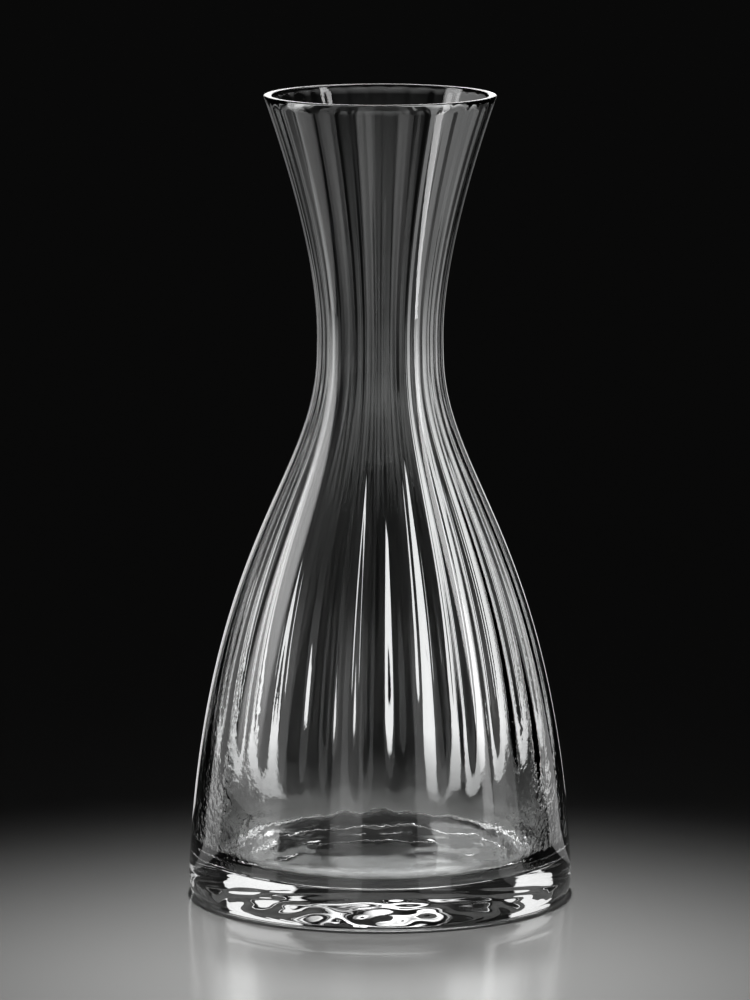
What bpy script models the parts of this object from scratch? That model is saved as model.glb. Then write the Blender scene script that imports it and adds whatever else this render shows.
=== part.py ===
"""Clear glass decanter: a blown body with optic ribs inside, on the heavy base that it is fused to.

Metres, +Z up. The origin is the centre of the standing ring, on the table.
Outlines are lists of (radius, height) points that are turned round the Z axis.
"""

import math

import bmesh
import bpy

# Outside of the glass
FOOT_RADIUS = 0.0646  # widest point, where the heel ends
FOOT_HEIGHT = 0.0068  # height of that widest point above the table
HEEL_INSET = 0.0020  # how far the heel draws in on its way down to the table
NECK_RADIUS = 0.0212  # narrowest point
NECK_HEIGHT = 0.1838  # height of the narrowest point above the table
FLARE_HEIGHT = 0.0862  # from the narrowest point up to the rim
RIM_RADIUS = 0.0389  # outside of the mouth

# Character of the two outer curves: angles, and handles as shares of each curve's rise
FOOT_LEAN = math.radians(2.9)  # the bowl leans in by this much above the heel
BOWL_FULLNESS = 0.654
SHOULDER_FULLNESS = 0.241
NECK_FULLNESS = 0.0645
FLARE_LEAN = math.radians(19.1)  # the mouth leans out by this much at the rim
FLARE_FULLNESS = 0.717

# Thickness of the glass
WALL = 0.0026  # neck, shoulder and rim
RIM_CROWN = 0.0005  # how far the middle of the rim's cut face stands above its edges
HEEL_WALL = 0.0100  # wall at the level of the floor
THICK_HEIGHT = 0.0990  # the wall thins out over this height above the floor
FLOOR_FILLET = 0.0090  # inside corner between floor and wall

# Seam between the body and the base: the body stands on a ledge, round a step that holds the floor
HEEL_LAND = 0.0012  # upright stretch of the base between its heel and the ledge
STEP_HEIGHT = 0.0030  # the floor stands this far above the ledge
FUSE_GAP = 0.0003

# Underside
STAND_WIDTH = 0.0120  # flat ring that the decanter stands on
PUNT_DEPTH = 0.0030  # hollow in the middle of the underside

# Optic ribs on the inside of the wall
RIB_COUNT = 30
RIB_DEPTH = 0.0008  # crest to valley at the widest inside radius
RIB_TAPER = 1.9  # the depth goes with the inside radius to this power
RIB_SHARPNESS = 0.25  # how much narrower the crests are than the valleys
RIB_START = 0.0140  # the ribs start this far above the inside corner
RIB_GROWTH = 0.0360  # they grow to full depth over this height
RIB_RIM_SHARE = 0.3  # depth that is left at the rim, as a share of what its radius gives
RIB_FADE_RIM = 0.0030  # they die away over this height below the rim

# How finely the surfaces are divided
SIDES_PER_RIB = 4
CURVE_STEPS = 8
ROUND_STEPS = 4
PUNT_STEPS = 4

HEIGHT = NECK_HEIGHT + FLARE_HEIGHT
SEAM_HEIGHT = FOOT_HEIGHT + HEEL_LAND
FLOOR_HEIGHT = SEAM_HEIGHT + STEP_HEIGHT
CORNER_HEIGHT = FLOOR_HEIGHT + FLOOR_FILLET
SIDES = RIB_COUNT * SIDES_PER_RIB
QUARTER = math.pi / 2
MERGE = 1e-7
SHARP_ANGLE = math.radians(40)

CLEAR_GLASS = (0.96, 0.98, 0.98, 1.0)
GLASS_ROUGHNESS = 0.02
GLASS_INDEX = 1.52


def bowl_curve():
    """The four control points from the heel up to the neck, with its S-shaped shoulder."""
    rise = NECK_HEIGHT - FOOT_HEIGHT
    pull = BOWL_FULLNESS * rise
    return (
        (FOOT_RADIUS, FOOT_HEIGHT),
        (FOOT_RADIUS - pull * math.sin(FOOT_LEAN), FOOT_HEIGHT + pull * math.cos(FOOT_LEAN)),
        (NECK_RADIUS, NECK_HEIGHT - SHOULDER_FULLNESS * rise),
        (NECK_RADIUS, NECK_HEIGHT),
    )


def flare_curve():
    """The four control points from the neck up to the rim."""
    pull = FLARE_FULLNESS * FLARE_HEIGHT
    return (
        (NECK_RADIUS, NECK_HEIGHT),
        (NECK_RADIUS, NECK_HEIGHT + NECK_FULLNESS * FLARE_HEIGHT),
        (RIM_RADIUS - pull * math.sin(FLARE_LEAN), HEIGHT - pull * math.cos(FLARE_LEAN)),
        (RIM_RADIUS, HEIGHT),
    )


def curve_point(curve, t):
    """The (radius, height) point at parameter t of a cubic curve."""
    weights = ((1 - t) ** 3, 3 * (1 - t) ** 2 * t, 3 * (1 - t) * t**2, t**3)
    return tuple(sum(w * p[axis] for w, p in zip(weights, curve)) for axis in (0, 1))


def outer_radius(height):
    """Outside radius at a height from the heel to the rim, found by halving the curve's parameter."""
    curve = bowl_curve() if height < NECK_HEIGHT else flare_curve()
    low, high = 0.0, 1.0
    for _ in range(40):
        middle = (low + high) / 2
        if curve_point(curve, middle)[1] < height:
            low = middle
        else:
            high = middle
    return curve_point(curve, low)[0]


def wall(height):
    """Thickness of the wall, which swells towards the base."""
    above_floor = (height - FLOOR_HEIGHT) / THICK_HEIGHT
    return WALL + (HEEL_WALL - WALL) * max(0.0, 1 - above_floor) ** 2


def inner_radius(height):
    """Inside radius midway between the ribs' crests and valleys."""
    return outer_radius(height) - wall(height)


def spread(first, last, steps):
    """Evenly spaced values from first to last, both included."""
    return [first + (last - first) * i / steps for i in range(steps + 1)]


def round_corner(centre, half_width, half_height, start, end):
    """Points of an elliptical arc round a centre, between two angles."""
    return [
        (centre[0] + half_width * math.cos(angle), centre[1] + half_height * math.sin(angle))
        for angle in spread(start, end, ROUND_STEPS)
    ]


def stations(first, last):
    """Heights from first to last, closer together where the outside bends more."""
    knots = [
        curve_point(curve, t)[1]
        for curve in (bowl_curve(), flare_curve())
        for t in spread(0, 1, CURVE_STEPS)[:-1]
    ]
    return [first] + [z for z in knots if first + WALL < z < last - WALL] + [last]


def floor_radius():
    """Radius of the flat floor, inside the rounded corner."""
    return inner_radius(CORNER_HEIGHT) - FLOOR_FILLET


def body_outline():
    """Closed outline of the wall: up the outside, over the rim, down the inside and round its foot."""
    foot = SEAM_HEIGHT + FUSE_GAP
    lip_height = HEIGHT - RIM_CROWN
    outside = [(outer_radius(z), z) for z in stations(foot, lip_height)]
    inside = [(inner_radius(z), z) for z in reversed(stations(CORNER_HEIGHT, lip_height))]
    lip_centre = ((outside[-1][0] + inside[0][0]) / 2, lip_height)
    rim = round_corner(lip_centre, outside[-1][0] - lip_centre[0], RIM_CROWN, 0, math.pi)
    corner_centre = (floor_radius(), CORNER_HEIGHT)
    corner = round_corner(corner_centre, FLOOR_FILLET, FLOOR_FILLET, 0, -QUARTER)
    return outside + rim[1:-1] + inside + corner[1:] + [(floor_radius(), foot)]


def base_outline():
    """Open outline of the base, from the floor's middle round the outside to the middle of the underside."""
    step_radius = floor_radius() - FUSE_GAP
    stand_radius = FOOT_RADIUS - HEEL_INSET
    punt_radius = stand_radius - STAND_WIDTH
    step = [(0, FLOOR_HEIGHT), (step_radius, FLOOR_HEIGHT), (step_radius, SEAM_HEIGHT)]
    ledge = [(outer_radius(SEAM_HEIGHT), SEAM_HEIGHT)]
    heel = round_corner((stand_radius, FOOT_HEIGHT), HEEL_INSET, FOOT_HEIGHT, 0, -QUARTER)
    punt = [(r, PUNT_DEPTH * (1 - (r / punt_radius) ** 2)) for r in spread(punt_radius, 0, PUNT_STEPS)]
    return step + ledge + heel + punt


def smooth_step(x):
    """0 below 0, 1 above 1, and a smooth rise between."""
    x = min(max(x, 0.0), 1.0)
    return x * x * (3 - 2 * x)


def rib_offset(radius, height, angle):
    """How far a rib moves the inside wall towards the axis. Ribs are shallower where the glass is narrower.

    A second wave, twice as fast, makes the crests narrow and the valleys flat.
    """
    grow = smooth_step((height - CORNER_HEIGHT - RIB_START) / RIB_GROWTH)
    shrink = 1 - (1 - RIB_RIM_SHARE) * smooth_step((height - NECK_HEIGHT) / FLARE_HEIGHT)
    fade = smooth_step((HEIGHT - height) / RIB_FADE_RIM)
    depth = RIB_DEPTH * (radius / inner_radius(CORNER_HEIGHT)) ** RIB_TAPER * grow * shrink * fade
    phase = RIB_COUNT * angle
    return depth / 2 * (math.cos(phase) + RIB_SHARPNESS * math.cos(2 * phase))


def press_ribs(bm):
    """Moves the points of the inside wall in and out, which leaves the outside smooth."""
    for vert in bm.verts:
        radius, height = vert.co.xy.length, vert.co.z
        if radius < outer_radius(height) - wall(height) / 2:
            offset = rib_offset(radius, height, math.atan2(vert.co.y, vert.co.x))
            vert.co.xy *= (radius - offset) / radius


def turn(outline, closed):
    """A mesh turned from an outline round the Z axis, with its faces pointing out."""
    bm = bmesh.new()
    verts = [bm.verts.new((radius, 0, height)) for radius, height in outline]
    ends = verts[1:] + verts[:1] if closed else verts[1:]
    edges = [bm.edges.new(pair) for pair in zip(verts, ends)]
    bmesh.ops.spin(
        bm, geom=verts + edges, cent=(0, 0, 0), axis=(0, 0, 1), angle=math.tau, steps=SIDES, use_merge=True
    )
    bmesh.ops.remove_doubles(bm, verts=bm.verts, dist=MERGE)
    bmesh.ops.recalc_face_normals(bm, faces=bm.faces)
    return bm


def glass(name):
    """Clear colourless glass."""
    material = bpy.data.materials.new(name)
    material.use_nodes = True
    shader = material.node_tree.nodes["Principled BSDF"]
    shader.inputs["Base Color"].default_value = CLEAR_GLASS
    shader.inputs["Roughness"].default_value = GLASS_ROUGHNESS
    shader.inputs["Metallic"].default_value = 0.0
    shader.inputs["IOR"].default_value = GLASS_INDEX
    shader.inputs["Transmission Weight"].default_value = 1.0
    return material


def piece(name, bm, material, parent):
    """Links a finished mesh into the scene as a named object."""
    mesh = bpy.data.meshes.new(name)
    bm.to_mesh(mesh)
    bm.free()
    mesh.materials.append(material)
    mesh.shade_smooth()
    mesh.set_sharp_from_angle(angle=SHARP_ANGLE)
    obj = bpy.data.objects.new(name, mesh)
    obj.parent = parent
    bpy.context.scene.collection.objects.link(obj)
    return obj


def ribbed_body(parent):
    """Bowl, shoulder, neck and flared mouth, blown in one with its ribs."""
    bm = turn(body_outline(), closed=True)
    press_ribs(bm)
    return piece("ribbed_body", bm, glass("blown_glass"), parent)


def heavy_base(parent):
    """Thick glass base with the floor of the inside, a rounded heel and a hollowed underside."""
    return piece("heavy_base", turn(base_outline(), closed=False), glass("base_glass"), parent)


def main():
    for obj in list(bpy.data.objects):
        bpy.data.objects.remove(obj)
    decanter = bpy.data.objects.new("decanter", None)
    bpy.context.scene.collection.objects.link(decanter)
    ribbed_body(decanter)
    heavy_base(decanter)


main()
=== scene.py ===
"""Looks of a clear glass decanter with ribs inside its wall, laid out as an add-on and run as a script.

The glass is one unbroken skin: the floor of the inside, the ribbed wall, the rim, the smooth outside and the
underside. It is parted into a body and a base where the solids are. The faces where the two meet let light
straight through, as glass that is fused does.
"""

import math

import bpy
import numpy as np
from bpy.props import FloatProperty, FloatVectorProperty, IntProperty, PointerProperty
from bpy.types import Operator, Panel, PropertyGroup
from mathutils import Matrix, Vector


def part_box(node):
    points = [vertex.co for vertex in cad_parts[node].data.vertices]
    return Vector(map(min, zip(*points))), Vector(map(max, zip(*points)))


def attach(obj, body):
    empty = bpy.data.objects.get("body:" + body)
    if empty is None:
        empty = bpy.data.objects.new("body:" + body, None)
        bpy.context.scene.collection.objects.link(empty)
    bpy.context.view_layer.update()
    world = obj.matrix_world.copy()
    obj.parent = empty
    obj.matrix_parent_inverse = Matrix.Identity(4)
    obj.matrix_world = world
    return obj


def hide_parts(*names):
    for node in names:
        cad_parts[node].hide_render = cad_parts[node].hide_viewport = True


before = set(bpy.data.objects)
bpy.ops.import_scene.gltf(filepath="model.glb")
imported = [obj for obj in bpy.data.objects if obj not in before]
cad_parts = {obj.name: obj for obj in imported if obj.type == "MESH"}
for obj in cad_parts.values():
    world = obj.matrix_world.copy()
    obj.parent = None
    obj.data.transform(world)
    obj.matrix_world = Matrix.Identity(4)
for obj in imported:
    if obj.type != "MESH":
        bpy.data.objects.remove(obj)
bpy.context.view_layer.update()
BODY_LOW, BODY_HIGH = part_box("ribbed_body")
BASE_LOW, BASE_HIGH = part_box("heavy_base")

bl_info = {
    "name": "Glass decanter",
    "version": (1, 0, 0),
    "blender": (4, 5, 0),
    "location": "3D View > Sidebar > Decanter",
    "description": "A ribbed glass decanter on a plain floor",
    "category": "Object",
}

TAU = math.tau
QUARTER_ARC_PULL = 0.5523  # handle length of a cubic that follows a quarter of a circle
CURVE_SAMPLES = 4000  # points on the outside's curve that radii are read from
SHARP_ANGLE = math.radians(50)
LIGHT_BOUNCES = 24  # a ray meets many walls of glass on its way through
SENSOR_WIDTH = 36  # of the camera, in millimetres

# Uneven glass: the waves that are added up, in metres, and the seeds of their random draws
SWELL_TURNS = 9  # a swell is made of waves that run once to this many times round the axis
RIPPLE_WAVES = 28
RIPPLE_SHORTEST = 0.008
RIPPLE_LONGEST = 0.026
RIPPLE_SEED = 5
DEPTH_SEED = 11
PLACE_SEED = 12

# Patterns in the finish, in waves to the metre
LINE_SCALE = 240
MARK_SCALE = 40
SCRATCH_SCALE = 900
CRINKLE_SCALE = 420
LINE_STRETCH = 0.05  # waves of the drawn lines up the glass, as a share of those round it
TINT_GAIN = 2  # lines and marks are each about a half, and their product is brought back to that
WEAR_HEIGHT = 0.0006  # the rubbed ring reaches this far above the table

# How many rows of faces each stretch of the skin has, and how many columns each rib
FLOOR_ROWS = 14
CORNER_ROWS = 18
WALL_ROWS = 110
RIM_ROWS = 14
OUTSIDE_ROWS = 84
LAND_ROWS = 3
HEEL_ROWS = 12
RING_ROWS = 6
PUNT_ROWS = 36
COLUMNS_PER_RIB = 12


def length(name, description, default):
    """A size in metres."""
    return FloatProperty(name=name, description=description, default=default, unit="LENGTH", precision=5)


def angle(name, description, degrees):
    """An angle, given here in degrees."""
    return FloatProperty(name=name, description=description, default=math.radians(degrees), unit="ROTATION")


def share(name, description, default):
    """A plain number without a unit."""
    return FloatProperty(name=name, description=description, default=default, precision=4)


def count(name, description, default):
    """A whole number of at least one."""
    return IntProperty(name=name, description=description, default=default, min=1)


def power(name, description, default):
    """The power of a lamp in watts."""
    return FloatProperty(name=name, description=description, default=default, min=0, unit="POWER")


def colour(name, description, default):
    """A colour of the surface, in linear red, green and blue."""
    return FloatVectorProperty(
        name=name, description=description, default=default, subtype="COLOR", size=3, min=0, max=1
    )


class DecanterSizes(PropertyGroup):
    """Shape of the glass."""

    height: length("Height", "From the table to the rim", BODY_HIGH.z)
    foot_radius: length("Foot radius", "Widest point, where the heel ends", BASE_HIGH.x)
    foot_height: length("Foot height", "Height of the widest point", 0.0068)
    heel_inset: length("Heel inset", "How far the heel draws in on its way down", 0.0020)
    neck_radius: length("Neck radius", "Narrowest point", 0.0212)
    neck_height: length("Neck height", "Height of the narrowest point", 0.1838)
    rim_radius: length("Rim radius", "Outside of the mouth", 0.0389)
    foot_lean: angle("Foot lean", "The bowl leans in by this much above the heel", 2.9)
    flare_lean: angle("Flare lean", "The mouth leans out by this much at the rim", 19.1)
    bowl_fullness: share("Bowl fullness", "Lower handle of the bowl, as a share of its rise", 0.654)
    shoulder_fullness: share("Shoulder fullness", "Upper handle of the bowl, as a share of its rise", 0.241)
    neck_fullness: share("Neck fullness", "Lower handle of the flare, as a share of its rise", 0.0645)
    flare_fullness: share("Flare fullness", "Upper handle of the flare, as a share of its rise", 0.717)
    wall: length("Wall", "Thickness at the neck, shoulder and rim", 0.0026)
    rim_crown: length("Rim crown", "How far the middle of the rim's cut face stands above its edges", 0.0005)
    heel_wall: length("Heel wall", "Thickness of the wall at the level of the floor", 0.0100)
    thick_height: length("Thick height", "The wall thins out over this height above the floor", 0.0990)
    floor_height: length("Floor height", "Top of the solid base", BASE_HIGH.z)
    floor_fillet: length("Floor fillet", "Inside corner between floor and wall", 0.0090)
    seam_height: length("Seam height", "Where the body stands on the base", BODY_LOW.z)
    stand_width: length("Standing ring", "Width of the flat ring that the decanter stands on", 0.0120)
    punt_depth: length("Punt depth", "Hollow in the middle of the underside", 0.0030)


class RibSizes(PropertyGroup):
    """Ribs on the inside of the wall, and how uneven the hand-blown glass is."""

    ribs: count("Ribs", "Number of ribs round the inside", 30)
    depth: length("Depth", "Crest to valley at the widest inside radius", 0.0008)
    taper: share("Taper", "The depth goes with the inside radius to this power", 1.9)
    sharp: share("Sharpness", "How much narrower the crests are than the valleys", 0.25)
    start: length("Start", "The ribs start this far above the inside corner", 0.0140)
    growth: length("Growth", "They grow to full depth over this height", 0.0360)
    rim_share: share("Rim share", "Depth that is left at the rim, as a share of what its radius gives", 0.3)
    fade: length("Fade", "They die away over this height below the rim", 0.0030)
    unlike: share("Unlike ribs", "How much the ribs differ in depth from each other", 0.35)
    stray: share("Straying ribs", "How far ribs stray from even spacing, as a share of a rib", 0.10)
    uneven_wall: length("Uneven wall", "Ripples low on the inside of the wall", 0.00005)
    uneven_floor: length("Uneven floor", "Ripples on the floor of the inside", 0.000004)
    uneven_height: length("Uneven height", "The wall is even above this height", 0.0950)
    uneven_punt: length("Uneven punt", "Ripples in the hollow of the underside", 0.00016)
    crinkle_reach: angle("Crinkle reach", "How far round from left and right the crinkles reach", 60)
    crinkle_least: share("Crinkle least", "Crinkles that are left at front and back, as a share", 0.1)


class GlassLook(PropertyGroup):
    """Finish of the glass."""

    clear: colour("Clear", "Colour of the clearest glass", (0.992, 0.996, 0.995))
    drawn: colour("Drawn", "Colour in the faint lines that blowing draws out", (0.968, 0.978, 0.976))
    index: share("Index", "Index of refraction", 1.52)
    polish: share("Polish", "Roughness of the fire-polished surface", 0.0)
    haze: share("Haze", "Roughness that faint handling marks add", 0.012)
    wear: share("Wear", "Roughness that rubbing on tables adds to the standing ring", 0.08)
    line_height: length("Drawn lines", "Height of the drawn lines in the surface", 0.000006)
    crinkle: share("Crinkles", "Height of the crinkles low inside the wall, in heights of drawn lines", 55.0)


class StageLook(PropertyGroup):
    """Floor, lamps and camera. Brightness is 1 where a lamp looks white."""

    # Floor and room
    floor_colour: colour("Floor", "Colour of the floor", (0.80, 0.80, 0.79))
    floor_sheen: share("Floor roughness", "Roughness of the floor", 0.15)
    floor_reach: length("Floor reach", "Half the floor's side", 11.0)
    floor_gap: length("Floor gap", "Air between the standing ring and the floor", 0.0002)
    room_light: share("Room light", "Strength of the even grey light all round", 0.003)

    # Soft spot that lights a pool of the floor
    pool_power: power("Pool light", "Power of the spot", 85.0)
    pool_height: length("Pool light height", "Height of the spot", 1.60)
    pool_back: length("Pool light back", "How far behind the decanter the spot hangs", 0.40)
    pool_forward: length("Pool forward", "How far in front of the decanter the middle of the pool lies", 0.15)
    pool_radius: length("Pool radius", "Where the light on the floor ends", 0.22)
    pool_lamp: length("Pool lamp radius", "Radius of the spot's lamp, which softens shadows", 0.12)
    shade: share("Shade", "How dark the thin glass's shadow is, where black is 1", 0.5)

    # Boxes on the left and right, with wings on the floor, which only the outside of the glass mirrors
    box_ring: length("Box ring", "Distance of the boxes from the axis", 0.80)
    box_height: length("Box height", "Height of a box", 0.90)
    box_edge: share("Box edge", "Share of a box's width over which each side fades", 0.15)
    foot_share: share("Foot share", "Light at the foot of a box, as a share of its middle's", 0.12)
    wing_start: length("Wing start", "Distance of the wings' inner ends from the axis", 0.15)
    wing_spread: angle("Wing spread", "Width of the beam that a wing sends up", 165)
    left_middle: share("Left middle", "Where the left box mirrors, as a share of the half-width", 0.72)
    left_width: share("Left width", "How wide it mirrors, as a share of the half-width", 0.16)
    left_light: share("Left light", "Brightness of the left box", 6.0)
    left_wing: share("Left wing", "Brightness of its wing", 3.0)
    right_middle: share("Right middle", "Where the right box mirrors, as a share of the half-width", 0.56)
    right_width: share("Right width", "How wide it mirrors, as a share of the half-width", 0.06)
    right_light: share("Right light", "Brightness of the right box", 10.0)
    right_wing: share("Right wing", "Brightness of its wing", 20.0)

    # Box behind, which the rim and the outline mirror
    back_light: share("Back light", "Brightness of the box behind", 2.2)
    back_width: length("Back width", "Width of the box behind", 0.40)
    back_foot: length("Back foot", "Height of its lower edge", 0.20)
    back_height: length("Back height", "From its lower edge to its upper edge", 0.50)
    back_side_edge: share("Back side edge", "Share of its width over which each side fades", 0.3)
    back_end_edge: share("Back end edge", "Share of its height over which each end fades", 0.2)

    # Near ring of bright panels, with gaps where cameras look through the glass
    panels: count("Panels", "Number of panels in each of the two rings", 8)
    lamp_lift: length("Lamp lift", "Height of lying lamps, and of the feet of panels behind them", 0.002)
    bar_ring: length("Bar ring", "Radius of the near ring", 0.19)
    bar_turn: angle("Bar turn", "How far the near ring is turned, from behind to the right", -5)
    bar_width: length("Bar width", "Width of a near panel", 0.058)
    bar_height: length("Bar height", "Height of a near panel", 0.26)
    bar_edge: share("Bar edge", "Share of a near panel's width over which each side fades", 0.03)
    bar_light: share("Bar light", "Brightness of the near panels behind", 1.0)
    front_share: share("Front share", "Brightness of those in front, as a share of those behind", 0.7)
    dim_foot: length("Dim foot", "Height on a near panel above which it dims", 0.11)
    dim_top: length("Dim top", "Height on it above which it is dimmest", 0.19)
    dim_share: share("Dim share", "Light that is left there, as a share", 0.15)
    point_reach: length("Point reach", "How far the points on the floor reach in from the near panels", 0.12)
    point_edge: share("Point edge", "Share of half a point's width over which each side fades", 0.12)
    point_dim: share("Point dim", "How much the points dim towards their tips, where black is 1", 0.95)

    # Far ring of dim strips, behind the gaps
    glow_ring: length("Glow ring", "Radius of the far ring", 0.80)
    glow_width: length("Glow width", "Width of a strip", 0.10)
    glow_height: length("Glow height", "Height of a strip, from the floor up", 0.22)
    glow_light: share("Glow", "Brightness of a strip", 0.10)
    glow_side_edge: share("Glow side edge", "Share of a strip's width over which each side fades", 0.45)
    glow_end_edge: share("Glow end edge", "Share of a strip's height over which each end fades", 0.3)

    # Camera
    camera_distance: length("Camera distance", "From the decanter's axis, level", 2.2729)
    camera_height: length("Camera height", "Above the floor", 0.4861)
    camera_aside: length("Camera aside", "To the left of the decanter's axis", 0.0017)
    camera_tilt: angle("Camera tilt", "Down from level", 8.814)
    camera_lens: share("Lens", "Focal length in millimetres", 247.08)


def cubic(points, t):
    """Points of a cubic curve: its four control points, each times its Bernstein weight at t, added up."""
    weights = ((1 - t) ** 3, 3 * (1 - t) ** 2 * t, 3 * (1 - t) * t**2, t**3)
    return np.stack(weights, axis=-1) @ np.asarray(points)


def smooth_step(x):
    """0 below 0, 1 above 1, and 3x^2 - 2x^3 between."""
    x = np.clip(x, 0, 1)
    return x * x * (3 - 2 * x)


def outside_curve(size):
    """The outside from heel to rim: an S-shaped cubic up to the neck, and a cubic up the flare."""
    rise = size.neck_height - size.foot_height
    flare = size.height - size.neck_height
    low_pull = size.bowl_fullness * rise
    high_pull = size.flare_fullness * flare
    bowl = (
        (size.foot_radius, size.foot_height),
        (
            size.foot_radius - low_pull * math.sin(size.foot_lean),
            size.foot_height + low_pull * math.cos(size.foot_lean),
        ),
        (size.neck_radius, size.neck_height - size.shoulder_fullness * rise),
        (size.neck_radius, size.neck_height),
    )
    mouth = (
        (size.neck_radius, size.neck_height),
        (size.neck_radius, size.neck_height + size.neck_fullness * flare),
        (
            size.rim_radius - high_pull * math.sin(size.flare_lean),
            size.height - high_pull * math.cos(size.flare_lean),
        ),
        (size.rim_radius, size.height),
    )
    t = np.linspace(0, 1, CURVE_SAMPLES)
    return np.concatenate([cubic(bowl, t), cubic(mouth, t)[1:]])


def outer_radius(size, height):
    """Outside radius at heights from the heel to the rim, read off the outside curve."""
    curve = outside_curve(size)
    return np.interp(height, curve[:, 1], curve[:, 0])


def inner_radius(size, height):
    """Outside radius less the wall, which swells with the square of the way down to the floor."""
    low = np.clip(1 - (height - size.floor_height) / size.thick_height, 0, None)
    return outer_radius(size, height) - size.wall - (size.heel_wall - size.wall) * low**2


def inside_outline(size):
    """(radius, height) rows from the floor's middle out, round the corner, up the wall and to the lip."""
    corner_height = size.floor_height + size.floor_fillet
    lip_height = size.height - size.rim_crown
    corner_radius = inner_radius(size, corner_height)
    floor_edge = corner_radius - size.floor_fillet
    pull = QUARTER_ARC_PULL * size.floor_fillet
    radii = np.linspace(0, floor_edge, FLOOR_ROWS + 1)
    level = np.stack([radii, np.full_like(radii, size.floor_height)], axis=1)
    corner = cubic(
        (
            (floor_edge, size.floor_height),
            (floor_edge + pull, size.floor_height),
            (corner_radius, corner_height - pull),
            (corner_radius, corner_height),
        ),
        np.linspace(0, 1, CORNER_ROWS + 1),
    )
    heights = np.linspace(corner_height, lip_height, WALL_ROWS + 1)
    wall = np.stack([inner_radius(size, heights), heights], axis=1)
    return np.concatenate([level, corner[1:], wall[1:]])


def rim_outline(size):
    """Rows of the rim: half a flat ellipse from the inside of the lip to its outside."""
    lip_height = size.height - size.rim_crown
    inside, outside = inner_radius(size, lip_height), outer_radius(size, lip_height)
    turn = np.linspace(math.pi, 0, RIM_ROWS + 1)
    radii = (inside + outside) / 2 + (outside - inside) / 2 * np.cos(turn)
    return np.stack([radii, lip_height + size.rim_crown * np.sin(turn)], axis=1)[1:-1]


def outside_outline(size):
    """Rows from the lip down the outside to the seam, and on down to the widest point."""
    upper = np.linspace(size.height - size.rim_crown, size.seam_height, OUTSIDE_ROWS + 1)
    lower = np.linspace(size.seam_height, size.foot_height, LAND_ROWS + 1)
    heights = np.concatenate([upper, lower[1:]])
    return np.stack([outer_radius(size, heights), heights], axis=1)


def underside_outline(size):
    """Rows round the heel, a quarter of an ellipse, in over the flat ring and up the parabola of the punt."""
    turn = np.linspace(0, -math.pi / 2, HEEL_ROWS + 1)[1:]
    stand = size.foot_radius - size.heel_inset
    punt = stand - size.stand_width
    heel = np.stack(
        [stand + size.heel_inset * np.cos(turn), size.foot_height * (1 + np.sin(turn))], axis=1
    )
    ring = np.stack([np.linspace(stand, punt, RING_ROWS + 1), np.zeros(RING_ROWS + 1)], axis=1)
    radii = np.linspace(punt, 0, PUNT_ROWS + 1)
    hollow = np.stack([radii, size.punt_depth * (1 - (radii / punt) ** 2)], axis=1)
    return np.concatenate([heel, ring[1:], hollow[1:]])


def swell(turn, seed):
    """A smooth uneven number of about unit size round the axis: cosines of whole turns, added up."""
    draw = np.random.default_rng(seed)
    turns = np.arange(1, SWELL_TURNS + 1)
    sizes = draw.normal(size=SWELL_TURNS)
    starts = draw.uniform(0, TAU, SWELL_TURNS)
    return np.cos(turn[:, None] * turns + starts) @ sizes * math.sqrt(2 / SWELL_TURNS)


def ripples(points):
    """A smooth uneven field of about unit size: plane waves of random lengths and directions, added up."""
    draw = np.random.default_rng(RIPPLE_SEED)
    lengths = draw.uniform(RIPPLE_SHORTEST, RIPPLE_LONGEST, RIPPLE_WAVES)
    directions = draw.normal(size=(3, RIPPLE_WAVES))
    directions /= np.linalg.norm(directions, axis=0)
    starts = draw.uniform(0, TAU, RIPPLE_WAVES)
    waves = np.cos(points @ (directions * TAU / lengths) + starts)
    return waves.sum(axis=-1) * math.sqrt(2 / RIPPLE_WAVES)


def rib_offset(size, rib, radius, height, turn):
    """How far ribs move the inside wall to the axis: half the depth times a cosine wave round the axis.

    A second cosine, twice as fast, makes the crests narrow and the valleys flat. The depth goes with a
    power of the radius. It grows above the corner, shrinks from the neck to the rim and fades out there.
    Each rib is a little deeper or shallower than the next, and a little out of its place.
    """
    corner_height = size.floor_height + size.floor_fillet
    up_flare = (height - size.neck_height) / (size.height - size.neck_height)
    grow = smooth_step((height - corner_height - rib.start) / rib.growth)
    shrink = 1 - (1 - rib.rim_share) * smooth_step(up_flare)
    fade = smooth_step((size.height - height) / rib.fade)
    depth = rib.depth * (radius / inner_radius(size, corner_height)) ** rib.taper * grow * shrink * fade
    unlike = 1 + rib.unlike * swell(turn, DEPTH_SEED)
    wave = rib.ribs * turn + TAU * rib.stray * swell(turn, PLACE_SEED)
    return (depth / 2)[:, None] * unlike * (np.cos(wave) + rib.sharp * np.cos(2 * wave))


def outline_normals(outline):
    """Unit normals of the outline's rows, a quarter turn to the left of the way that it runs."""
    along = np.gradient(outline, axis=0)
    along /= np.linalg.norm(along, axis=1)[:, None]
    return np.stack([-along[:, 1], along[:, 0]], axis=1)


def ring_points(radius, height, turn):
    """Points of rows and columns: each row's radius and height carried round the axis."""
    return np.stack([radius * np.cos(turn), radius * np.sin(turn), height + 0 * turn], axis=-1)


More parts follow.
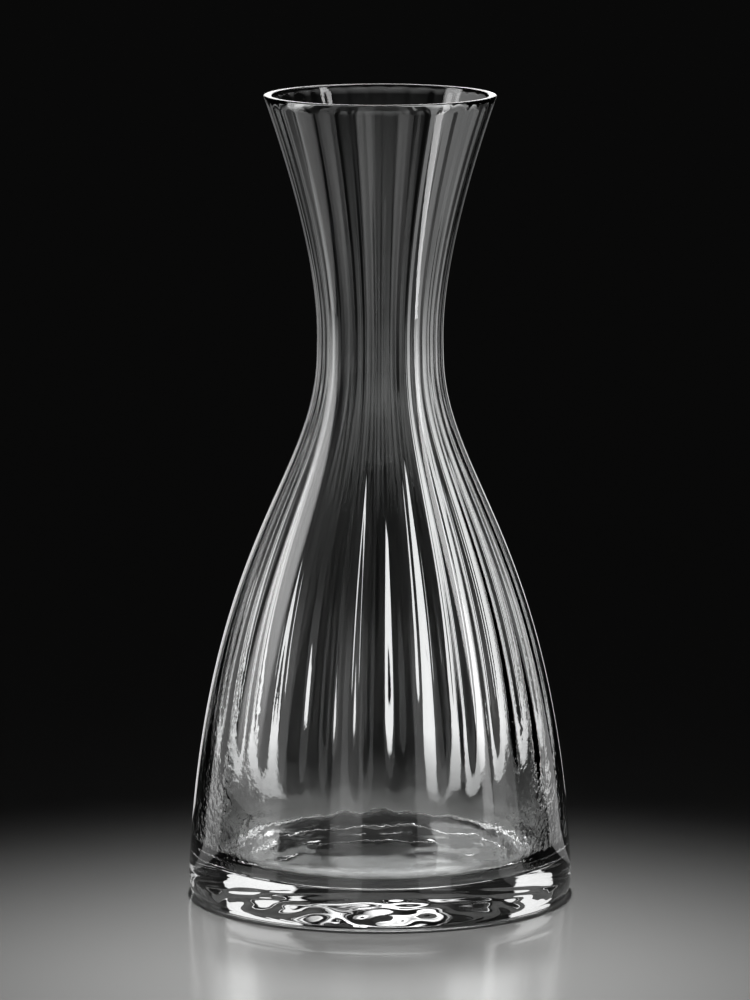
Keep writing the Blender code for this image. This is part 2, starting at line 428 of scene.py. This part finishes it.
def uneven_rows(size, rib, outline, inside_rows, seam_row):
    """How high the ripples are on each row of the outline, and how crinkled it is.

    Ripples lie on the floor, low on the wall and in the hollow underneath, crinkles low on the wall alone.
    Both shrink evenly up the wall. Ripples also die away towards the axis and towards the standing ring.
    """
    radius, height = outline[:, 0], outline[:, 1]
    rows = np.arange(len(outline))
    past_floor = smooth_step((rows - FLOOR_ROWS) / CORNER_ROWS)
    low = np.clip((rib.uneven_height - height) / (rib.uneven_height - size.floor_height), 0, 1)
    low_inside = low * (rows < inside_rows)
    inside = (rib.uneven_floor + (rib.uneven_wall - rib.uneven_floor) * past_floor) * low_inside
    punt = size.foot_radius - size.heel_inset - size.stand_width
    in_punt = smooth_step((punt - radius) / size.floor_fillet) * (radius / punt) * (rows > seam_row)
    off_axis = smooth_step(radius / (2 * size.floor_fillet))
    return (inside + rib.uneven_punt * in_punt) * off_axis, low_inside * past_floor


def glass_skin(size, rib):
    """The whole skin as rows of rings, from the floor's middle over the rim to the middle of the underside.

    Returns the points, as rows by columns by three, how crinkled each is, and the row of the seam on the
    outside, where body and base part. On the inside they part at the floor's edge. Ripples move the glass
    along the outline's normal. The crinkles gather low on the left and on the right.
    """
    inside = inside_outline(size)
    outline = np.concatenate([inside, rim_outline(size), outside_outline(size), underside_outline(size)])
    seam_row = len(inside) + RIM_ROWS - 1 + OUTSIDE_ROWS
    columns = rib.ribs * COLUMNS_PER_RIB
    turn = np.arange(columns) * TAU / columns
    radius, height = outline[:, 0], outline[:, 1]
    is_inside = np.arange(len(outline)) < len(inside)
    offset = rib_offset(size, rib, radius, height, turn) * is_inside[:, None]
    base = ring_points(radius[:, None] - offset, height[:, None], turn)

    amount, low_wall = uneven_rows(size, rib, outline, len(inside), seam_row)
    moved = amount[:, None] * ripples(base)
    normals = outline_normals(outline)
    ripple = ring_points(normals[:, 0, None] * moved, normals[:, 1, None] * moved, turn)

    edge = math.cos(rib.crinkle_reach)
    aside = smooth_step((np.abs(np.cos(turn)) - edge) / (1 - edge))
    crinkled = low_wall[:, None] * (rib.crinkle_least + (1 - rib.crinkle_least) * aside)
    return base + ripple, crinkled, seam_row


def skin_normals(skin):
    """Normals of the skin: the way along the rows crossed with the way round, from central differences.

    Rows lie at unlike distances, so the difference along them is taken over the mean length between rows.
    """
    steps = np.linalg.norm(np.diff(skin, axis=0), axis=-1).mean(axis=1)
    along = np.gradient(skin, np.concatenate([[0], np.cumsum(steps)]), axis=0)
    around = np.roll(skin, -1, axis=1) - np.roll(skin, 1, axis=1)
    normals = np.cross(along, around)
    normals[0], normals[-1] = (0, 0, 1), (0, 0, -1)
    return normals / np.linalg.norm(normals, axis=-1)[..., None]


def ring_mesh(name, rings, normals, crinkled, poles, pole_normals, seam_strips):
    """A closed mesh of rings of points, each joined to the next by a strip of four-sided faces.

    Without poles the last ring joins the first. With two poles a fan of triangles closes each end instead.
    The seam strips, counted from the first ring, get the second material. How crinkled each point is goes
    into an attribute that the finish reads.
    """
    columns = rings.shape[1]
    numbers = np.arange(len(rings) * columns).reshape(-1, columns)
    after = np.roll(numbers, -1, axis=0)
    beside = np.roll(numbers, -1, axis=1)
    quads = np.stack([numbers, after, np.roll(after, -1, axis=1), beside], axis=-1)
    slots = np.repeat(np.isin(np.arange(len(rings)), seam_strips), columns).astype(np.int32)
    faces = quads.reshape(-1, 4).tolist()
    if len(poles):
        first = np.full(columns, numbers.size)
        start_fan = np.stack([first, numbers[0], beside[0]], axis=1)
        end_fan = np.stack([first + 1, beside[-1], numbers[-1]], axis=1)
        faces = faces[:-columns] + start_fan.tolist() + end_fan.tolist()
        slots = np.concatenate([slots[:-columns], np.zeros(2 * columns, np.int32)])
    points = np.concatenate([rings.reshape(-1, 3), poles])
    point_normals = np.concatenate([normals.reshape(-1, 3), pole_normals])
    creases = np.concatenate([crinkled.reshape(-1), np.zeros(len(poles))]).astype(np.float32)
    mesh = bpy.data.meshes.new(name)
    mesh.from_pydata(points.tolist(), [], faces)
    mesh.polygons.foreach_set("material_index", slots)
    mesh.attributes.new("crinkle", "FLOAT", "POINT").data.foreach_set("value", creases)
    mesh.shade_smooth()
    mesh.set_sharp_from_angle(angle=SHARP_ANGLE)
    mesh.normals_split_custom_set_from_vertices(point_normals.tolist())
    return mesh


def seam_corner(size, columns):
    """The ring where the base's step meets its ledge, under the floor's edge, and its normals."""
    turn = np.arange(columns) * TAU / columns
    floor_edge = inner_radius(size, size.floor_height + size.floor_fillet) - size.floor_fillet
    return ring_points(floor_edge, size.seam_height, turn)[None], ring_points(1, 0, turn)[None]


def body_mesh(size, rib):
    """The skin from the floor's edge over the rim to the seam, closed below by the step and the ledge."""
    skin, crinkled, seam_row = glass_skin(size, rib)
    normals = skin_normals(skin)
    corner, corner_normals = seam_corner(size, skin.shape[1])
    kept = slice(FLOOR_ROWS, seam_row + 1)
    rings = np.concatenate([skin[kept], corner])
    ring_normals = np.concatenate([normals[kept], corner_normals])
    creases = np.concatenate([crinkled[kept], np.zeros_like(crinkled[:1])])
    no_poles = np.empty((0, 3))
    seam_strips = [len(rings) - 2, len(rings) - 1]
    return ring_mesh("blown_body", rings, ring_normals, creases, no_poles, no_poles, seam_strips)


def base_mesh(size, rib):
    """The skin's floor and underside, closed between them by the step and the ledge that carry the body."""
    skin, crinkled, seam_row = glass_skin(size, rib)
    normals = skin_normals(skin)
    corner, corner_normals = seam_corner(size, skin.shape[1])
    floor, under = slice(1, FLOOR_ROWS + 1), slice(seam_row, -1)
    rings = np.concatenate([skin[floor], corner, skin[under]])
    ring_normals = np.concatenate([normals[floor], corner_normals, normals[under]])
    creases = np.concatenate([crinkled[floor], np.zeros_like(crinkled[:1]), crinkled[under]])
    poles, pole_normals = skin[[0, -1], 0], normals[[0, -1], 0]
    seam_strips = [FLOOR_ROWS - 1, FLOOR_ROWS]
    return ring_mesh("glass_base", rings, ring_normals, creases, poles, pole_normals, seam_strips)


class Wire:
    """A value that a node gives. An operator on it adds a Math node."""

    def __init__(self, nodes, socket):
        self.nodes = nodes
        self.socket = socket

    def math(self, operation, other=0.0):
        """A Math node on this value, and on another where it takes two."""
        return self.nodes.add("ShaderNodeMath", {"operation": operation}, {0: self, 1: other})

    def eased(self, start, end, first, last):
        """Runs smoothly from a first to a last value while this one goes from start to end."""
        return self.nodes.add(
            "ShaderNodeMapRange",
            {"interpolation_type": "SMOOTHSTEP"},
            {"Value": self, "From Min": start, "From Max": end, "To Min": first, "To Max": last},
        )

    def __add__(self, other):
        return self.math("ADD", other)

    def __mul__(self, other):
        return self.math("MULTIPLY", other)

    def __sub__(self, other):
        return self.math("SUBTRACT", other)

    def __rsub__(self, other):
        return self.nodes.add("ShaderNodeMath", {"operation": "SUBTRACT"}, {0: other, 1: self})

    __radd__ = __add__
    __rmul__ = __mul__


class Nodes:
    """The nodes of a material, a lamp or the world, emptied first."""

    def __init__(self, owner):
        owner.use_nodes = True
        self.tree = owner.node_tree
        self.tree.nodes.clear()

    def add(self, kind, settings, sockets, output=0):
        """Adds a node of a type, with its settings set before its sockets, and gives one of its outputs."""
        node = self.tree.nodes.new(kind)
        for name, value in settings.items():
            setattr(node, name, value)
        for name, value in sockets.items():
            if isinstance(value, Wire):
                self.tree.links.new(value.socket, node.inputs[name])
            else:
                node.inputs[name].default_value = value
        return Wire(self, node.outputs[output]) if node.outputs else None


def opaque(rgb):
    """A colour with full alpha, as sockets take it."""
    return (*rgb, 1.0)


def noise(nodes, place, scale, detail):
    """An uneven pattern between 0 and 1, with so many waves to the metre and so many finer layers."""
    return nodes.add("ShaderNodeTexNoise", {}, {"Vector": place, "Scale": scale, "Detail": detail})


def glass_finish(name, look, stand_wear):
    """Clear glass with faint drawn lines and handling marks, crinkles low inside, and a rubbed foot."""
    material = bpy.data.materials.new(name)
    nodes = Nodes(material)
    place = nodes.add("ShaderNodeTexCoord", {}, {}, "Object")
    drawn = nodes.add("ShaderNodeMapping", {}, {"Vector": place, "Scale": (1, 1, LINE_STRETCH)})
    lines = noise(nodes, drawn, LINE_SCALE, detail=2)
    marks = noise(nodes, place, MARK_SCALE, detail=4)
    tint = nodes.add(
        "ShaderNodeMix",
        {"data_type": "RGBA"},
        {0: lines * marks * TINT_GAIN, 6: opaque(look.clear), 7: opaque(look.drawn)},
        output=2,
    )
    roughness = look.polish + look.haze * marks * marks
    if stand_wear:
        height = nodes.add("ShaderNodeSeparateXYZ", {}, {"Vector": place}, "Z")
        scratches = noise(nodes, place, SCRATCH_SCALE, detail=6)
        roughness = roughness + height.eased(0, WEAR_HEIGHT, 1, 0) * scratches * look.wear
    crinkled = nodes.add("ShaderNodeAttribute", {"attribute_name": "crinkle"}, {}, "Fac")
    relief = lines + crinkled * noise(nodes, place, CRINKLE_SCALE, detail=2) * look.crinkle
    bump = nodes.add("ShaderNodeBump", {}, {"Distance": look.line_height, "Height": relief})
    shader = nodes.add(
        "ShaderNodeBsdfPrincipled",
        {},
        {
            "Base Color": tint,
            "Roughness": roughness,
            "IOR": look.index,
            "Transmission Weight": 1.0,
            "Normal": bump,
        },
    )
    nodes.add("ShaderNodeOutputMaterial", {}, {"Surface": shader})
    return material


def fused_finish():
    """The faces where the fused glass has no surface, so light goes straight through."""
    material = bpy.data.materials.new("fused_seam")
    nodes = Nodes(material)
    shader = nodes.add("ShaderNodeBsdfPrincipled", {}, {"Alpha": 0.0})
    nodes.add("ShaderNodeOutputMaterial", {}, {"Surface": shader})
    return material


def add_piece(mesh, finish, node):
    """Puts a finished mesh into the scene in place of a solid."""
    mesh.materials.append(finish)
    mesh.materials.append(fused_finish())
    piece = bpy.data.objects.new(mesh.name, mesh)
    bpy.context.scene.collection.objects.link(piece)
    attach(piece, "root")
    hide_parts(node)


def check_sizes(size):
    """Stops if the wall leaves no room inside the neck."""
    if inner_radius(size, size.neck_height) <= 0:
        raise ValueError("The wall is thicker than the neck's radius.")


class DECANTER_OT_body(Operator):
    """Adds the bowl, shoulder, neck and flared mouth, blown in one with the ribs inside"""

    bl_idname = "decanter.body"
    bl_label = "Blown body"

    def execute(self, context):
        scene = context.scene
        check_sizes(scene.decanter_sizes)
        mesh = body_mesh(scene.decanter_sizes, scene.decanter_ribs)
        finish = glass_finish("blown_finish", scene.decanter_glass, stand_wear=False)
        add_piece(mesh, finish, "ribbed_body")
        return {"FINISHED"}


class DECANTER_OT_base(Operator):
    """Adds the thick base with the floor of the inside, the rounded heel and the hollowed underside"""

    bl_idname = "decanter.base"
    bl_label = "Glass base"

    def execute(self, context):
        scene = context.scene
        check_sizes(scene.decanter_sizes)
        mesh = base_mesh(scene.decanter_sizes, scene.decanter_ribs)
        finish = glass_finish("base_finish", scene.decanter_glass, stand_wear=True)
        add_piece(mesh, finish, "heavy_base")
        return {"FINISHED"}


def add_floor(stage):
    """A level square floor with a soft sheen."""
    reach = stage.floor_reach
    mesh = bpy.data.meshes.new("stage_floor")
    corners = [(-reach, -reach, 0), (reach, -reach, 0), (reach, reach, 0), (-reach, reach, 0)]
    mesh.from_pydata(corners, [], [(0, 1, 2, 3)])
    material = bpy.data.materials.new("floor_finish")
    nodes = Nodes(material)
    shader = nodes.add(
        "ShaderNodeBsdfPrincipled",
        {},
        {"Base Color": opaque(stage.floor_colour), "Roughness": stage.floor_sheen},
    )
    nodes.add("ShaderNodeOutputMaterial", {}, {"Surface": shader})
    mesh.materials.append(material)
    floor = bpy.data.objects.new("stage_floor", mesh)
    floor.location.z = -stage.floor_gap
    bpy.context.scene.collection.objects.link(floor)


def add_panel(glass, name, turn, ring, middle, size, brightness, lying=False):
    """A rectangular lamp that only glass shows, at a turn counted from behind to the right.

    It stands and faces the axis, or lies and faces up, with its height along the floor. Its power is its
    brightness times its area and pi.
    """
    width, height = size
    lamp = bpy.data.lights.new(name, "AREA")
    lamp.shape = "RECTANGLE"
    lamp.size = width
    lamp.size_y = height
    lamp.energy = brightness * width * height * math.pi
    panel = bpy.data.objects.new(name, lamp)
    panel.location = (ring * math.sin(turn), ring * math.cos(turn), middle)
    panel.rotation_euler = (math.pi if lying else -math.pi / 2, 0, -turn)
    panel.visible_camera = False
    panel.visible_diffuse = False
    panel.light_linking.receiver_collection = glass
    bpy.context.scene.collection.objects.link(panel)
    return panel


def panel_place(panel):
    """The nodes of a panel's lamp, and where on it a ray lands: across and along, from 0 to 1.

    Along runs down a standing panel, and inwards on a lying one.
    """
    nodes = Nodes(panel.data)
    place = nodes.add("ShaderNodeNewGeometry", {}, {}, "Parametric")
    across = nodes.add("ShaderNodeSeparateXYZ", {}, {"Vector": place}, "X")
    along = nodes.add("ShaderNodeSeparateXYZ", {}, {"Vector": place}, "Y")
    return nodes, across, along


def faded(place, edge):
    """1 in the middle of a lamp, falling to 0 at both ends as u (1 - u) does over a share of its length."""
    fade = place * (1 - place) * (1 / (edge * (1 - edge)))
    return fade.math("MINIMUM", 1.0)


def shine(nodes, glow):
    """Gives a lamp's light the pattern of a glow."""
    light = nodes.add("ShaderNodeEmission", {}, {"Strength": glow})
    nodes.add("ShaderNodeOutputLight", {}, {"Surface": light})


def mirrored(panel, edge):
    """Hides a panel from rays that have been through glass, so that only the outside mirrors it.

    Gives its nodes, a glow that fades to its sides, and where along it a ray lands.
    """
    panel.visible_transmission = False
    nodes, across, along = panel_place(panel)
    depth = nodes.add("ShaderNodeLightPath", {}, {}, "Transmission Depth")
    return nodes, faded(across, edge) * depth.math("LESS_THAN", 0.5), along


def mirror_place(side, middle_share, width_share):
    """The turn at which a round wall mirrors a box at a share of its half-width, and the angle it spans.

    The wall mirrors what stands twice the arc sine of that share away from the camera's side. A side is -1
    on the left and 1 on the right.
    """
    from_camera = 2 * math.asin(middle_share)
    return math.pi - side * from_camera, 2 * width_share / math.cos(from_camera / 2)


def add_mirror_box(stage, glass, name, place, brightness, wing_brightness):
    """A box that is dark at its top and brightest in its middle, and a wing that fades towards the axis."""
    turn, span = place
    ring, height = stage.box_ring, stage.box_height
    middle = stage.lamp_lift + height / 2
    box = add_panel(glass, name, turn, ring, middle, (ring * span, height), brightness)
    nodes, glow, along = mirrored(box, stage.box_edge)
    shine(nodes, glow * along * (stage.foot_share + 4 * (1 - stage.foot_share) * (1 - along)))

    wing_ring = (ring + stage.wing_start) / 2
    size = (wing_ring * span, ring - stage.wing_start)
    wing = add_panel(
        glass, f"{name}_wing", turn, wing_ring, stage.lamp_lift, size, wing_brightness, lying=True
    )
    wing.data.spread = stage.wing_spread
    nodes, glow, along = mirrored(wing, stage.box_edge)
    shine(nodes, glow * (1 - along))


def add_back_box(stage, glass):
    """A box high behind, faded all round."""
    middle = stage.back_foot + stage.back_height / 2
    size = (stage.back_width, stage.back_height)
    box = add_panel(glass, "back_box", 0, stage.box_ring, middle, size, stage.back_light)
    nodes, across, along = panel_place(box)
    shine(nodes, faded(across, stage.back_side_edge) * faded(along, stage.back_end_edge))


def add_far_strip(stage, glass, name, turn):
    """A dim strip, faded all round and brighter towards its foot."""
    height = stage.glow_height
    size = (stage.glow_width, height)
    strip = add_panel(glass, name, turn, stage.glow_ring, height / 2, size, stage.glow_light)
    nodes, across, along = panel_place(strip)
    shine(nodes, faded(across, stage.glow_side_edge) * faded(along, stage.glow_end_edge) * along)


def add_near_panel(stage, glass, name, turn):
    """A bright panel that dims towards its top, and a point on the floor that dims towards its tip."""
    in_front = (1 - math.cos(turn)) / 2
    brightness = stage.bar_light * (1 - (1 - stage.front_share) * in_front)
    ring, height, reach = stage.bar_ring, stage.bar_height, stage.point_reach
    middle = stage.lamp_lift + height / 2
    panel = add_panel(glass, name, turn, ring, middle, (stage.bar_width, height), brightness)
    nodes, across, along = panel_place(panel)
    dimmed = along.eased(1 - stage.dim_top / height, 1 - stage.dim_foot / height, stage.dim_share, 1)
    shine(nodes, faded(across, stage.bar_edge) * dimmed)

    size = (stage.bar_width, reach)
    point = add_panel(
        glass, f"{name}_point", turn, ring - reach / 2, stage.lamp_lift, size, brightness, lying=True
    )
    nodes, across, along = panel_place(point)
    aside = (across * 2 - 1).math("ABSOLUTE")
    inside = (1 - along - aside) * (1 / stage.point_edge)
    shine(nodes, inside.math("MINIMUM", 1.0).math("MAXIMUM", 0.0) * (1 - along * stage.point_dim))


def add_pool_light(stage, name, strength, blockers):
    """A spot from behind that lights a round pool of floor, and casts the shadows of some pieces alone."""
    aside = stage.pool_back + stage.pool_forward
    lamp = bpy.data.lights.new(name, "SPOT")
    lamp.energy = stage.pool_power * strength
    lamp.shadow_soft_size = stage.pool_lamp
    lamp.spot_size = 2 * math.atan(stage.pool_radius / math.hypot(stage.pool_height, aside))
    lamp.spot_blend = 1.0
    spot = bpy.data.objects.new(name, lamp)
    spot.location = (0, stage.pool_back, stage.pool_height)
    spot.rotation_euler = (-math.atan2(aside, stage.pool_height), 0, 0)
    spot.visible_camera = False
    spot.visible_glossy = False
    spot.visible_transmission = False
    spot.light_linking.blocker_collection = blockers
    bpy.context.scene.collection.objects.link(spot)


def piece_group(name, pieces):
    """A collection of pieces that a lamp is tied to."""
    group = bpy.data.collections.new(name)
    for piece in pieces:
        group.objects.link(bpy.data.objects[piece])
    return group


def add_lamps(stage):
    """The pool's light, the boxes on the left, on the right and behind, and the two rings of panels."""
    glass = piece_group("glass_alone", ("blown_body", "glass_base"))
    base = piece_group("base_alone", ("glass_base",))
    add_pool_light(stage, "pool_through", 1 - stage.shade, base)
    add_pool_light(stage, "pool_light", stage.shade, glass)
    left = mirror_place(-1, stage.left_middle, stage.left_width)
    right = mirror_place(1, stage.right_middle, stage.right_width)
    add_mirror_box(stage, glass, "left_box", left, stage.left_light, stage.left_wing)
    add_mirror_box(stage, glass, "right_box", right, stage.right_light, stage.right_wing)
    add_back_box(stage, glass)
    for i in range(stage.panels):
        add_far_strip(stage, glass, f"glow_{i + 1}", TAU * i / stage.panels)
        add_near_panel(stage, glass, f"bar_{i + 1}", TAU * (i + 0.5) / stage.panels + stage.bar_turn)


def add_room(stage):
    """An even grey room."""
    world = bpy.data.worlds.new("room")
    nodes = Nodes(world)
    light = nodes.add("ShaderNodeBackground", {}, {"Color": opaque((1, 1, 1)), "Strength": stage.room_light})
    nodes.add("ShaderNodeOutputWorld", {}, {"Surface": light})
    bpy.context.scene.world = world


def add_camera(stage):
    """A camera in front of the decanter, looking down a little."""
    lens = bpy.data.cameras.new("camera")
    lens.lens = stage.camera_lens
    lens.sensor_width = SENSOR_WIDTH
    camera = bpy.data.objects.new("camera", lens)
    camera.location = (-stage.camera_aside, -stage.camera_distance, stage.camera_height)
    camera.rotation_euler = (math.pi / 2 - stage.camera_tilt, 0, 0)
    bpy.context.scene.collection.objects.link(camera)
    bpy.context.scene.camera = camera


class DECANTER_OT_stage(Operator):
    """Adds the floor, the lamps, the room and the camera"""

    bl_idname = "decanter.stage"
    bl_label = "Stage"

    def execute(self, context):
        stage = context.scene.decanter_stage
        add_floor(stage)
        add_lamps(stage)
        add_room(stage)
        add_camera(stage)
        context.scene.view_settings.view_transform = "Standard"
        light_paths = context.scene.cycles
        light_paths.max_bounces = LIGHT_BOUNCES
        light_paths.transmission_bounces = LIGHT_BOUNCES
        light_paths.transparent_max_bounces = LIGHT_BOUNCES
        return {"FINISHED"}


class DECANTER_PT_sidebar(Panel):
    """Sizes, finish and stage, with a button for each piece"""

    bl_label = "Glass decanter"
    bl_space_type = "VIEW_3D"
    bl_region_type = "UI"
    bl_category = "Decanter"

    def draw(self, context):
        for operator in OPERATORS:
            self.layout.operator(operator.bl_idname)
        for slot, group in GROUPS.items():
            column = self.layout.column()
            column.label(text=group.__doc__)
            for name in group.__annotations__:
                column.prop(getattr(context.scene, slot), name)


OPERATORS = (DECANTER_OT_body, DECANTER_OT_base, DECANTER_OT_stage)
GROUPS = {
    "decanter_sizes": DecanterSizes,
    "decanter_ribs": RibSizes,
    "decanter_glass": GlassLook,
    "decanter_stage": StageLook,
}


def register():
    """Registers the classes, and the groups on the scene."""
    for cls in (*GROUPS.values(), *OPERATORS, DECANTER_PT_sidebar):
        bpy.utils.register_class(cls)
    for slot, group in GROUPS.items():
        setattr(bpy.types.Scene, slot, PointerProperty(type=group))


def unregister():
    """Takes back what register did."""
    for slot in GROUPS:
        delattr(bpy.types.Scene, slot)
    for cls in (DECANTER_PT_sidebar, *reversed(OPERATORS), *reversed(GROUPS.values())):
        bpy.utils.unregister_class(cls)


def main():
    """Builds the pieces and the stage."""
    register()
    bpy.ops.decanter.body()
    bpy.ops.decanter.base()
    bpy.ops.decanter.stage()


if __name__ == "__main__":
    main()
